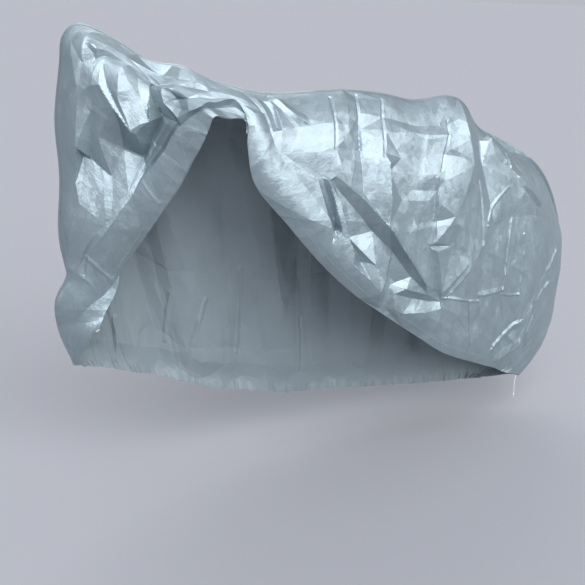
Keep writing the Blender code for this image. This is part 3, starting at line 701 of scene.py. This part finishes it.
def bowls(across, along, seed):
    """Lowest of many bowls, one stood at random in each square: they meet in sharp ridges."""
    draw = np.random.default_rng(seed)
    place, rise = draw.random((LATTICE, LATTICE, 2)), draw.uniform(0, BOWL_RISE, (LATTICE, LATTICE))
    column, row = np.floor(across).astype(int), np.floor(along).astype(int)
    lowest = np.full(across.shape, np.inf)
    for i in [column + step for step in NEARBY]:
        for j in [row + step for step in NEARBY]:
            stood = place[i % LATTICE, j % LATTICE]
            depth = (across - i - stood[..., 0])**2 + (along - j - stood[..., 1])**2
            lowest = np.minimum(lowest, depth + rise[i % LATTICE, j % LATTICE])
    return lowest


def facets(u, v, width, length, angle, seed):
    """Flat random facets: width across, length along a direction in degrees.

    Two sets of bowls are taken from each other. Their curves cancel, so what is left is flat
    between the ridges of the one and the valleys of the other.
    """
    turn = math.radians(angle)
    across = (u * math.cos(turn) - v * math.sin(turn)) / width
    along = (u * math.sin(turn) + v * math.cos(turn)) / length
    return bowls(across, along, seed) - bowls(across, along, seed + 1)


def fade(value, start, end):
    """0 below start and 1 above end, with a soft step between."""
    share = np.clip((value - start) / (end - start), 0, 1)
    return share * share * (3 - 2 * share)


print("facets at one place:", float(facets(np.array(0.3), np.array(0.2), 0.05, 0.1, 20, 3)))

# %% Crumpling of one side
FACETS = (
    # height, width and length in metres, and the way they run in degrees
    (0.0075, 0.115, 0.190, 12),
    (0.0042, 0.058, 0.105, -28),
    (0.0012, 0.026, 0.046, 38),
)
HEM_BAND = 0.085              # width of the smooth band above a hem
HEM_CALM = 0.25               # how much of the crumpling is left in it
HEM_FADE = 0.5 * HEM_BAND, 1.3 * HEM_BAND     # between these heights it comes back
PATCH = 0.16                  # size of the patches that are crumpled more or less
PATCH_MEAN, PATCH_SWING = 0.75, 0.45
PACK_STEP = 0.21              # from one fold of the pack to the next
PACK_HALF = 0.010             # half width of its crease
PACK_HEIGHT = 0.0009
PACK_SWAY = 0.008             # how far its lines wander
PACK_BEND = 0.12              # from one bend of theirs to the next
PACK_SEED = 50
SEAM_BAND = 0.03              # the crumpling fades in over this width below the seam


def pack_lines(u, v):
    """Shallow creases along which the cover was folded in its pack, a hand's width apart."""
    sway = PACK_SWAY * soft_noise(u, v, PACK_BEND, PACK_SEED)
    away_u = np.abs((u + sway) / PACK_STEP % 1 - 0.5) * PACK_STEP
    away_v = np.abs((v + sway) / PACK_STEP % 1 - 0.5) * PACK_STEP
    return crease(away_u / PACK_HALF) + crease(away_v / PACK_HALF)


def crumple(flat, seed, strength):
    """Height of the crumpling on one side."""
    u, v, from_hem = flat
    height = sum(rise * facets(u, v, width, length, angle, seed + 10 * number)
                 for number, (rise, width, length, angle) in enumerate(FACETS))
    calm = HEM_CALM + (1 - HEM_CALM) * fade(from_hem, *HEM_FADE)
    patches = PATCH_MEAN + PATCH_SWING * soft_noise(u, v, PATCH, seed + 30)
    height = strength * height * calm * patches + PACK_HEIGHT * pack_lines(u, v)
    return height * fade(v, 0.0, SEAM_BAND)


print("kinds of facets:", len(FACETS), "pack folds every", PACK_STEP, "m")

# %% [markdown]
# ## Hems
#
# The hem is a channel for the drawcord, so the film over it rolls outwards and is gathered in small
# tucks. Both are heights as well: a half wave up the band over the hem, and noise that runs along
# it. Their strengths are given at a few station numbers and read evenly in between.

# %% Hem roll and gathers
NEAR_ROLL = (0, 6, 13, 15, 19, 22, 31), (0.002, 0.003, 0.003, 0.010, 0.006, 0.003, 0.002)
NEAR_GATHER = (0, 3, 5, 8, 22, 31), (0.0005, 0.0006, 0.0006, 0.0006, 0.0008, 0.0020)
FAR_ROLL = (0, 31), (0.004, 0.004)
FAR_GATHER = (0, 10, 22, 31), (0.0020, 0.0030, 0.0030, 0.0030)
GATHER_WIDTH = 0.009          # width of a tuck
GATHER_BAND = 0.035           # how far up from the hem the tucks reach
GATHER_CHANGE = 0.2           # how fast they change on the way up, against along the hem


def flat_places(points):
    """For each point of a side: metres along its middle, down from the seam, and up from the hem."""
    down = np.zeros(points.shape[:2])
    down[1:] = np.cumsum(np.linalg.norm(np.diff(points, axis=0), axis=-1), axis=0)
    middle = points[len(points) // 2]
    run = np.concatenate([[0], np.cumsum(np.linalg.norm(np.diff(middle, axis=0), axis=-1))])
    return np.broadcast_to(run, down.shape), down, down[-1] - down


def hem_shape(flat, stations, roll, gather, seed):
    """The hem's soft roll and its gathers; both tables give strengths at station numbers."""
    u, v, from_hem = flat
    bulge = np.sin(math.pi * np.clip(from_hem / HEM_BAND, 0, 1))
    rolled = np.interp(stations, *roll) * bulge
    creased = soft_noise(u, GATHER_CHANGE * v, GATHER_WIDTH, seed) * (1 - fade(from_hem, 0.0, GATHER_BAND))
    return rolled + np.interp(stations, *gather) * creased


print("deepest roll and gather, m:", max(NEAR_ROLL[1]), max(FAR_GATHER[1]))

# %% [markdown]
# ## The two grids
#
# Both sides share the seam's row and the same stations, so that they fold as one. The soft folds
# are added first, then creases and facets along the new surface's own normals. A displacement
# texture could do the second step, but heights that are worked out here can follow the tables.

# %% Points of both sides
COLUMNS = 600                 # steps along the cover
NEAR_ROWS = 240               # steps from the seam down to the near hem
FAR_ROWS = 180                # steps from the seam down to the far hem
# How strongly each side is crumpled; the near side at some station numbers.
NEAR_CRUMPLE = (0, 4, 9, 12, 15, 17, 21, 23, 31), (0.05, 0.15, 0.25, 0.35, 0.5, 0.4, 0.5, 0.9, 0.9)
FAR_CRUMPLE = 0.8
NEAR_SEED, FAR_SEED = 3, 7
NEAR_HEM_SEED, FAR_HEM_SEED = 61, 62


def near_heights(stations, place, points):
    """Soft and sharp heights of the near side."""
    flat = flat_places(points)
    soft = hem_shape(flat, stations, NEAR_ROLL, NEAR_GATHER, NEAR_HEM_SEED)
    sharp = relief(-1, NEAR, NEAR_CREASES, points, crease)
    sharp = sharp + crumple(flat, NEAR_SEED, np.interp(stations, *NEAR_CRUMPLE))
    sharp = sharp + pane_height(FLAP_CREASES, FLAP_FREE, *place)
    sharp = sharp + pane_height(REAR_CREASES, REAR_FREE, *place)
    return soft, sharp


def far_heights(stations, points):
    """Soft and sharp heights of the far side."""
    flat = flat_places(points)
    soft = relief(1, FAR, FAR_FOLDS, points, tent)
    soft = soft + hem_shape(flat, stations, FAR_ROLL, FAR_GATHER, FAR_HEM_SEED)
    sharp = relief(1, FAR, FAR_CREASES, points, crease)
    return soft, sharp + crumple(flat, FAR_SEED, FAR_CRUMPLE)


def cover_points():
    """The whole cover as one grid of rows, far hem to seam to near hem."""
    stations = even_stations(COLUMNS)
    near_place = np.meshgrid(stations, np.linspace(0, 1, NEAR_ROWS + 1))
    far_place = np.meshgrid(stations, np.linspace(0, 1, FAR_ROWS + 1))
    near, far = draped(-1, NEAR, *near_place), draped(1, FAR, *far_place)
    near_steps, far_steps = near_heights(stations, near_place, near), far_heights(stations, far)
    grid = np.concatenate([far[:0:-1], near])
    for near_step, far_step in zip(near_steps, far_steps):
        height = np.concatenate([far_step[:0:-1], near_step])
        grid = grid + surface_normals(grid) * height[..., None]
    return grid - np.array(ORIGIN)


grid = cover_points()
normals = surface_normals(grid)
near_grid, near_out = grid[FAR_ROWS:].copy(), normals[FAR_ROWS:]
far_grid, far_out = grid[FAR_ROWS::-1].copy(), normals[FAR_ROWS::-1]
print("grid:", grid.shape[:2], "size in metres:", np.ptp(grid, axis=(0, 1)).round(3))

# %% [markdown]
# ## The film
#
# The outside is metallised: a grey metal with a soft sheen, whose tiny facets tilt the light this
# way and that. The inside is the bare back of the film, plainer and more matt. Both read the flat
# coordinates of their own side, so the pattern lies in the film. Real facets that small would need
# millions of faces, so the cells of a Voronoi pattern tilt the normal by a random amount instead.

# %% Film materials
PATCH_SCALE = 9.0             # patterns are in repeats to the metre
BEND_SCALE = 35.0
BEND = 0.02                   # metres by which the cells' edges wander
FACET_SCALES = (45.0, 1.0), (110.0, 0.6)      # and the share of the tilt that each takes
WRINKLE_SCALE = 160.0
WRINKLE_DEPTH = 0.0012
GLOSS_BELOW, GLOSS_ABOVE = 0.05, 0.06         # how far the roughness strays with the wrinkles


def vector_math(tree, operation, *inputs):
    """A vector sum, product or the like."""
    numbered = {f"_{number}": value for number, value in enumerate(inputs)}
    made = linked(tree, "ShaderNodeVectorMath", **numbered)
    made.operation = operation
    return made.outputs[0]


def facing_facets(tree, place, tilt):
    """Normals that lean another way in each cell, in cells of two sizes."""
    facing = tree.nodes.new("ShaderNodeNewGeometry").outputs["Normal"]
    for scale, share in FACET_SCALES:
        lean = share * tilt
        cells = linked(tree, "ShaderNodeTexVoronoi", Vector=place, Scale=scale, Randomness=1.0)
        shift = vector_math(tree, "MULTIPLY_ADD", cells.outputs["Color"], (lean,) * 3, (-lean / 2,) * 3)
        facing = vector_math(tree, "ADD", facing, shift)
    return vector_math(tree, "NORMALIZE", facing)


def film_material(name, pale, dark, metallic, roughness, tilt):
    """Crinkled film: two tones, a sheen, and facets of two sizes that tilt the normal."""
    made, tree, shader = new_material(name)
    shader.inputs["Metallic"].default_value = metallic
    place = tree.nodes.new("ShaderNodeUVMap")
    place.uv_map = "flat"
    flat = place.outputs["UV"]
    wander = linked(tree, "ShaderNodeTexNoise", Vector=flat, Scale=BEND_SCALE, Detail=2.0)
    shift = vector_math(tree, "MULTIPLY_ADD", wander.outputs["Color"], (BEND, BEND, 0.0),
                        (-BEND / 2, -BEND / 2, 0.0))
    bent = vector_math(tree, "ADD", flat, shift)
    wrinkle = linked(tree, "ShaderNodeTexNoise", Vector=bent, Scale=WRINKLE_SCALE, Detail=4.0,
                     Roughness=0.6).outputs[0]
    bump = linked(tree, "ShaderNodeBump", Strength=0.6, Distance=WRINKLE_DEPTH, Height=wrinkle,
                  Normal=facing_facets(tree, bent, tilt))
    tree.links.new(bump.outputs["Normal"], shader.inputs["Normal"])
    patches = linked(tree, "ShaderNodeTexNoise", Vector=flat, Scale=PATCH_SCALE, Detail=5.0, Roughness=0.65)
    two_tones(tree, shader, patches.outputs[0], dark, pale)
    gloss = linked(tree, "ShaderNodeMapRange", Value=wrinkle, To_Min=roughness - GLOSS_BELOW,
                   To_Max=roughness + GLOSS_ABOVE)
    tree.links.new(gloss.outputs["Result"], shader.inputs["Roughness"])
    return made


film_outside = film_material("silver_film_outside", (0.335, 0.41, 0.443), (0.25, 0.315, 0.343),
                             metallic=0.80, roughness=0.45, tilt=0.12)
film_inside = film_material("silver_film_inside", (0.215, 0.262, 0.285), (0.17, 0.21, 0.23),
                            metallic=0.1, roughness=0.55, tilt=0.05)
print("films:", film_outside.name, film_inside.name)

# %% [markdown]
# ## Sheets from the grids
#
# Each side becomes one closed sheet. A grid this fine could be kept, but film bends along straight
# lines and stays flat between, so the grid is first thinned into flat facets, which also keeps it
# light. Then it gets an inner face and a strip round the edge, thicker at the hem, where the film is
# doubled. The flat coordinates go into a UV map, in metres.

# %% Near and far panel
FILM = 0.0016                 # thickness of the film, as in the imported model
HEM = 0.0030                  # thickness of the hem
SEAM_GAP = 0.0006             # between the two sides along the seam
NEAR_FACETS = 24000           # flat triangles on one face of a side
FAR_FACETS = 14000
EDGE_ROWS = 2                 # rows along each edge that aren't thinned
HEM_ROWS = 4                  # rows that have the hem's thickness
CREASE_ANGLE = math.radians(7)     # a bend sharper than this is drawn as a crease


def point_numbers(points):
    """The number of each point of a grid, in the grid's own rows and columns."""
    return np.arange(points.shape[0] * points.shape[1]).reshape(points.shape[:2])


def film_mesh(name, points, faces, places):
    """A mesh of film on the points, with a flat place in metres for each of them."""
    mesh = bpy.data.meshes.new(name)
    mesh.from_pydata(points.reshape(-1, 3), [], faces)
    corners = np.zeros(len(mesh.loops), dtype=int)
    mesh.loops.foreach_get("vertex_index", corners)
    mesh.uv_layers.new(name="flat").data.foreach_set("uv", places.reshape(-1, 2)[corners].ravel())
    mesh.materials.append(film_outside)
    return placed(name, mesh)


def grid_sheet(name, points, side):
    """The outside of one side of the cover as an open sheet, with its flat coordinates."""
    number = point_numbers(points)
    faces = np.stack([number[:-1, :-1], number[:-1, 1:], number[1:, 1:], number[1:, :-1]], axis=-1)
    places = np.stack(flat_places(points)[:2], axis=-1)
    made = film_mesh(name, points, faces.reshape(-1, 4)[:, ::side].tolist(), places)
    made.data.materials.append(film_inside)
    middle = number[EDGE_ROWS:-EDGE_ROWS, EDGE_ROWS:-EDGE_ROWS]
    made.vertex_groups.new(name="inside").add(middle.ravel().tolist(), 1.0, "REPLACE")
    made.vertex_groups.new(name="hem").add(number[-HEM_ROWS:].ravel().tolist(), 1.0, "REPLACE")
    return made


def folded_film(name, points, side, facet_count):
    """A closed sheet of flat facets: film bends along straight lines and stays flat between."""
    made = grid_sheet(name, points, side)
    flatten = made.modifiers.new("flatten", "DECIMATE")
    flatten.ratio = facet_count / (2 * len(made.data.polygons))
    flatten.vertex_group = "inside"
    thicken = made.modifiers.new("thicken", "SOLIDIFY")
    thicken.thickness = HEM
    thicken.offset = -1.0
    thicken.vertex_group = "hem"
    thicken.thickness_vertex_group = FILM / HEM
    thicken.material_offset = 1
    ready = bpy.data.meshes.new_from_object(made.evaluated_get(bpy.context.evaluated_depsgraph_get()))
    made.modifiers.clear()
    made.vertex_groups.clear()
    made.data = ready
    ready.name = name
    ready.shade_smooth()
    ready.set_sharp_from_angle(angle=CREASE_ANGLE)
    return made


def edge_faults(item):
    """Edges of a piece that don't join two faces, and its volume: a closed sheet has none."""
    shape = bmesh.new()
    shape.from_mesh(item.data)
    loose = sum(not edge.is_contiguous for edge in shape.edges)
    volume = shape.calc_volume(signed=True)
    shape.free()
    return loose, round(volume, 6)


def seam_edge(side):
    """The seam's row, moved half of the seam's gap to one side."""
    along = np.gradient(grid[FAR_ROWS], axis=0)
    across = np.cross(normals[FAR_ROWS], along)
    across /= np.linalg.norm(across, axis=-1, keepdims=True)
    toward_near = np.sign((across * (grid[FAR_ROWS + 1] - grid[FAR_ROWS - 1])).sum(-1, keepdims=True))
    return grid[FAR_ROWS] - side * toward_near * across * SEAM_GAP / 2


near_grid[0], far_grid[0] = seam_edge(-1), seam_edge(1)
near_cloth = folded_film("near_cloth", near_grid, -1, NEAR_FACETS)
far_cloth = folded_film("far_cloth", far_grid, 1, FAR_FACETS)
for item in (near_cloth, far_cloth):
    print(item.name, "triangles:", sum(len(face.vertices) - 2 for face in item.data.polygons),
          "loose edges and volume:", edge_faults(item))

# %% [markdown]
# ## The lap over the seam
#
# On the real cover the two sides overlap along the seam and are sewn through twice, so that rain
# can't get in. The lap could be part of one side's grid, but as a narrow strip of its own it keeps
# a crisp edge. It follows the seam's row of the grid and lies on the finished film.

# %% Seam lap
LAP_HALF = 0.0055             # from the seam to the lap's edge
LAP_RISE = 0.0010             # from the film to the lap's top
LAP_CLEAR = 0.0001            # between the film and the lap
LAP_SHARES = (1.0, 0.5, 0.0, 0.5, 1.0)      # of its half width, from the far edge to the near one
LAP_HEIGHTS = (0.5, 0.9, 1.2, 0.9, 0.5)     # of its rise, at these
LAP_ANGLE = math.radians(50)  # its rounded top is smooth up to this bend


def line_beside(cloth, points, out, distance, lift):
    """A line on a side's film, a distance from the first row of its points, lifted off the film."""
    down = flat_places(points)[1]
    column = np.arange(points.shape[1])
    row = np.clip((down < distance).sum(axis=0) - 1, 0, None)
    share = ((distance - down[row, column]) / (down[row + 1, column] - down[row, column]))[:, None]
    line = points[row, column] * (1 - share) + points[row + 1, column] * share
    if cloth is not None:
        line = np.array([tuple(cloth.closest_point_on_mesh(Vector(place))[1]) for place in line])
    return line + out[row, column] * lift


def seam_lap(name):
    """A closed strip over the seam, thinner towards both of its edges."""
    far_side, near_side = (far_cloth, far_grid, far_out), (near_cloth, near_grid, near_out)
    sides = (far_side, far_side, (None, near_grid, near_out), near_side, near_side)
    over, under = [], []
    for side, share, rise in zip(sides, LAP_SHARES, LAP_HEIGHTS):
        over.append(line_beside(*side, share * LAP_HALF, LAP_CLEAR + rise * LAP_RISE))
        under.append(line_beside(*side, share * LAP_HALF, LAP_CLEAR))
    loop = np.array(over + under[::-1])
    number = point_numbers(loop)
    after = np.roll(number, -1, axis=0)
    faces = np.stack([number[:, :-1], after[:, :-1], after[:, 1:], number[:, 1:]], axis=-1)
    ends = [number[::-1, 0].tolist(), number[:, -1].tolist()]
    run = flat_places(loop)[0]
    ring = np.broadcast_to(np.arange(len(loop))[:, None] * LAP_HALF / 2, run.shape)
    made = film_mesh(name, loop, faces.reshape(-1, 4).tolist() + ends, np.stack([run, ring], axis=-1))
    made.data.shade_smooth()
    made.data.set_sharp_from_angle(angle=LAP_ANGLE)
    return made


lap = seam_lap("seam_lap")
print("seam lap faces:", len(lap.data.polygons), "loose edges and volume:", edge_faults(lap))

# %% [markdown]
# ## Stitches
#
# Two rows of stitches hold the lap, and one row in each hem closes the channel for the drawcord.
# Modelling each stitch by hand would take days. A Geometry Nodes tree sets them one after another
# along lines on the film instead, with their pitch, length and thread as plain numbers. A seed
# varies their length a little, as a sewing machine does on slippery film.

# %% Stitch tree
STITCHING = {"Pitch": 0.0046, "Length": 0.0035, "Thread": 0.0007, "Seed": 5}
SHORTEST, LONGEST = 0.85, 1.08     # of the length


def stitch_tree(material):
    """Small stitches along lines, with a pitch, a length, a thread's width and a seed."""
    tree = bpy.data.node_groups.new("stitches", "GeometryNodeTree")
    tree.interface.new_socket("Lines", in_out="INPUT", socket_type="NodeSocketGeometry")
    for name, value in STITCHING.items():
        kind = "NodeSocketInt" if name == "Seed" else "NodeSocketFloat"
        tree.interface.new_socket(name, in_out="INPUT", socket_type=kind).default_value = value
    tree.interface.new_socket("Stitches", in_out="OUTPUT", socket_type="NodeSocketGeometry")
    given = tree.nodes.new("NodeGroupInput").outputs
    path = linked(tree, "GeometryNodeMeshToCurve", Mesh=given["Lines"])
    spots = tree.nodes.new("GeometryNodeCurveToPoints")
    spots.mode = "LENGTH"
    tree.links.new(path.outputs["Curve"], spots.inputs["Curve"])
    tree.links.new(given["Pitch"], spots.inputs["Length"])
    aim = linked(tree, "FunctionNodeAlignRotationToVector", Vector=spots.outputs["Tangent"])
    aim.axis = "Z"
    uneven = linked(tree, "FunctionNodeRandomValue", _2=SHORTEST, _3=LONGEST, Seed=given["Seed"])
    long = linked(tree, "ShaderNodeMath", _0=given["Length"], _1=uneven.outputs[1])
    long.operation = "MULTIPLY"
    size = linked(tree, "ShaderNodeCombineXYZ", X=given["Thread"], Y=given["Thread"], Z=long.outputs[0])
    bead = linked(tree, "GeometryNodeMeshUVSphere", Segments=6, Rings=5, Radius=0.5)
    sewn_on = linked(tree, "GeometryNodeInstanceOnPoints", Points=spots.outputs["Points"],
                     Instance=bead.outputs["Mesh"], Rotation=aim.outputs["Rotation"], Scale=size.outputs[0])
    plain = linked(tree, "GeometryNodeRealizeInstances", Geometry=sewn_on.outputs["Instances"])
    painted = linked(tree, "GeometryNodeSetMaterial", Geometry=plain.outputs["Geometry"], Material=material)
    result = tree.nodes.new("NodeGroupOutput")
    tree.links.new(painted.outputs["Geometry"], result.inputs["Stitches"])
    return tree


pale_thread = braid_material("pale_thread", 3000, (0.30, 0.345, 0.365), (0.40, 0.44, 0.46))
sewing = stitch_tree(pale_thread)
print("stitch tree:", len(sewing.nodes), "nodes, inputs", list(STITCHING))

# %% Rows of stitches
HEM_CHANNEL = 0.024           # width of the channel for the drawcord
LAP_ROW = 0.0030              # from the seam to a row of stitches
THREAD_LIFT = STITCHING["Thread"] * 0.1     # a stitch's middle lies this far over the film


def sewn(name, lines):
    """Stitches along lines of points, as a plain mesh."""
    mesh = bpy.data.meshes.new(name)
    steps = np.arange(len(lines[0]) - 1)
    edges = [(a, a + 1) for k in range(len(lines)) for a in (steps + k * len(lines[0])).tolist()]
    mesh.from_pydata(np.concatenate(lines).tolist(), edges, [])
    made = placed(name, mesh)
    modifier = made.modifiers.new("stitches", "NODES")
    modifier.node_group = sewing
    for socket in sewing.interface.items_tree:
        if socket.in_out == "INPUT" and socket.name in STITCHING:
            modifier[socket.identifier] = STITCHING[socket.name]
    plain = as_mesh(made)
    plain.data.shade_smooth()
    return plain


def side_stitches(name, cloth, points, out):
    """Stitches of one side: a row on the lap and a row that closes the hem's channel."""
    on_lap = line_beside(lap, points, out, LAP_ROW, THREAD_LIFT)
    on_hem = line_beside(cloth, points[::-1], out[::-1], HEM_CHANNEL, THREAD_LIFT)
    return sewn(name, [on_lap, on_hem])


near_stitches = side_stitches("near_stitches", near_cloth, near_grid, near_out)
far_stitches = side_stitches("far_stitches", far_cloth, far_grid, far_out)
for item in (near_stitches, far_stitches):
    print(item.name, "faces:", len(item.data.polygons), "loose edges and volume:", edge_faults(item))

# %% [markdown]
# ## Pieces on the body
#
# Each piece rides on the one body. Both sheets and the cord stand for their nodes of the
# imported model, which are hidden.

# %% Ride and replace
for piece in (near_cloth, far_cloth, lap, near_stitches, far_stitches, drawcord, cord_knot):
    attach(piece, "root")
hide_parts("near_panel")
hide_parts("far_panel")
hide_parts("drawcord")
